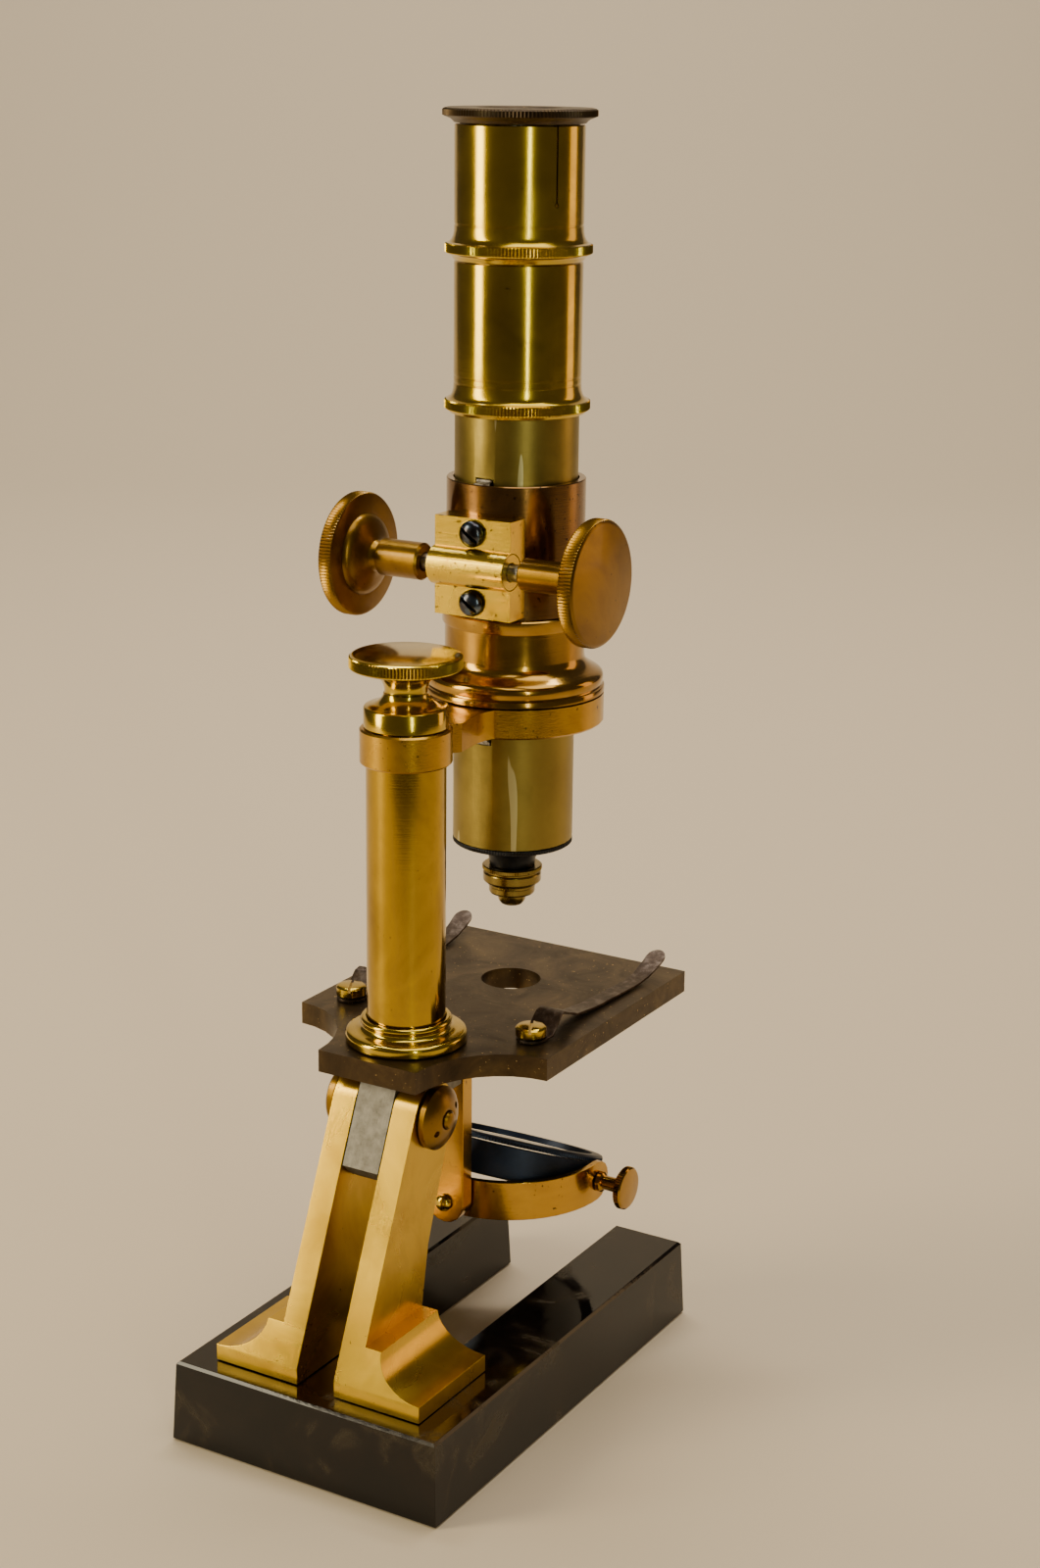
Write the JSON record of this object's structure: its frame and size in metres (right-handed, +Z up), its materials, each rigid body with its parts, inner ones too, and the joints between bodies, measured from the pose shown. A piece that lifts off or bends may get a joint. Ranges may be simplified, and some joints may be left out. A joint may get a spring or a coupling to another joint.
{
  "type": "compound microscope",
  "caption": "Upright brass compound microscope on a horseshoe foot, with inclining joint, rack and pinion focus, fine focus column, square stage and swivelling mirror",
  "frame": {"origin": "centre of the foot's underside, midway between its ends and sides", "axes": "+Z up along the tube, +Y from the pillars to the open end of the foot, +X to the right knob"},
  "size_m": [0.07, 0.1148, 0.2894],
  "materials": {
    "japanned_foot": "gloss black-brown japan over cast iron",
    "bronzed_brass": "dark bronzed brass, edges worn bright",
    "lacquered_brass": "polished and gold lacquered brass",
    "red_lacquered_brass": "brass under a reddened lacquer",
    "bare_brass": "dull unlacquered drawn brass",
    "blackened_brass": "chemically blackened",
    "steel": "fine filed and blued steel",
    "lens_glass": "polished",
    "silvered_glass": "silvered on the back"
  },
  "bodies": {
    "foot": {"foot_block": "japanned_foot", "pillar_left": "lacquered_brass", "pillar_right": "lacquered_brass", "pillar_screw_1": "steel", "pillar_screw_2": "steel", "pillar_screw_3": "steel", "pillar_screw_4": "steel", "trunnion_bolt": "lacquered_brass", "trunnion_nut": "lacquered_brass"},
    "limb": {"joint_block": "steel", "joint_block_screw_1": "steel", "joint_block_screw_2": "steel", "stage_plate": "bronzed_brass", "clip_screw_left": "lacquered_brass", "clip_screw_right": "lacquered_brass", "column_flange": "lacquered_brass", "prism_bar": "steel", "fine_spring": "steel", "mirror_bar": "lacquered_brass", "mirror_bar_screw": "lacquered_brass"},
    "clip_left": {"stage_clip_left": "steel"},
    "clip_right": {"stage_clip_right": "steel"},
    "fork": {"mirror_fork": "lacquered_brass", "fork_pivot_pin": "lacquered_brass"},
    "mirror": {"mirror_cell": "blackened_brass", "mirror_bezel": "blackened_brass", "plane_mirror": "silvered_glass", "concave_mirror": "silvered_glass", "mirror_thumb_screw_left": "lacquered_brass", "mirror_thumb_screw_right": "lacquered_brass"},
    "arm": {"arm": "lacquered_brass", "column_tube": "lacquered_brass", "column_cap": "lacquered_brass", "sleeve_flange": "lacquered_brass", "sleeve": "red_lacquered_brass", "pinion_block": "lacquered_brass", "pinion_block_screw_upper": "steel", "pinion_block_screw_lower": "steel", "pinion_bush": "lacquered_brass"},
    "fine_head": {"fine_focus_head": "lacquered_brass"},
    "pinion": {"pinion_shaft": "steel", "coarse_knob_left": "lacquered_brass", "coarse_knob_right": "lacquered_brass"},
    "tube": {"body_tube": "bare_brass", "focus_rack": "steel", "upper_tube": "lacquered_brass", "nosepiece": "blackened_brass", "objective_mount": "lacquered_brass", "objective_front": "lacquered_brass", "objective_lens": "lens_glass"},
    "draw": {"eyepiece_socket": "lacquered_brass", "draw_tube": "lacquered_brass"},
    "eyepiece": {"eyepiece_cap": "bronzed_brass", "eyepiece_tube": "lacquered_brass", "eyepiece_stop": "blackened_brass", "eye_lens": "lens_glass", "field_lens": "lens_glass"}
  },
  "joints": [
    {"name": "inclination", "type": "hinge", "parent": "foot", "child": "limb", "pos_m": [0, -0.0205, 0.0753], "axis": [1, 0, 0], "range_deg": [0, 60]},
    {"name": "clip_left_turn", "type": "hinge", "parent": "limb", "child": "clip_left", "pos_m": [-0.0241, -0.0011, 0.0905], "axis": [0, 0, 1], "range_deg": [-22, 90]},
    {"name": "clip_right_turn", "type": "hinge", "parent": "limb", "child": "clip_right", "pos_m": [0.0241, -0.0011, 0.0905], "axis": [0, 0, 1], "range_deg": [-90, 22]},
    {"name": "fork_swing", "type": "hinge", "parent": "limb", "child": "fork", "pos_m": [0, 0.0032, 0.0432], "axis": [0, 1, 0], "range_deg": [-30, 30]},
    {"name": "mirror_turn", "type": "hinge", "parent": "fork", "child": "mirror", "pos_m": [0, 0.03055, 0.0432], "axis": [1, 0, 0], "continuous": true},
    {"name": "fine_focus", "type": "slide", "parent": "limb", "child": "arm", "axis": [0, 0, 1], "range_m": [-0.002, 0.002], "deforming": ["fine_spring"]},
    {"name": "fine_head_turn", "type": "hinge", "parent": "arm", "child": "fine_head", "pos_m": [0, -0.01485, 0.172], "axis": [0, 0, 1], "range_deg": [-1441, 1441]},
    {"name": "coarse_focus", "type": "slide", "parent": "arm", "child": "tube", "axis": [0, 0, 1], "range_m": [-0.014, 0.035]},
    {"name": "pinion_turn", "type": "hinge", "parent": "arm", "child": "pinion", "pos_m": [0, 0.0125, 0.19138], "axis": [1, 0, 0], "range_deg": [-230, 574]},
    {"name": "draw_slide", "type": "slide", "parent": "tube", "child": "draw", "axis": [0, 0, 1], "range_m": [0, 0.035]},
    {"name": "eyepiece_lift", "type": "slide", "parent": "draw", "child": "eyepiece", "axis": [0, 0, 1], "range_m": [0, 0.024]}
  ],
  "couplings": [
    {"joint": "fine_head_turn", "follows": "fine_focus", "rad_per_m": 12566},
    {"joint": "pinion_turn", "follows": "coarse_focus", "rad_per_m": 285.71}
  ]
}
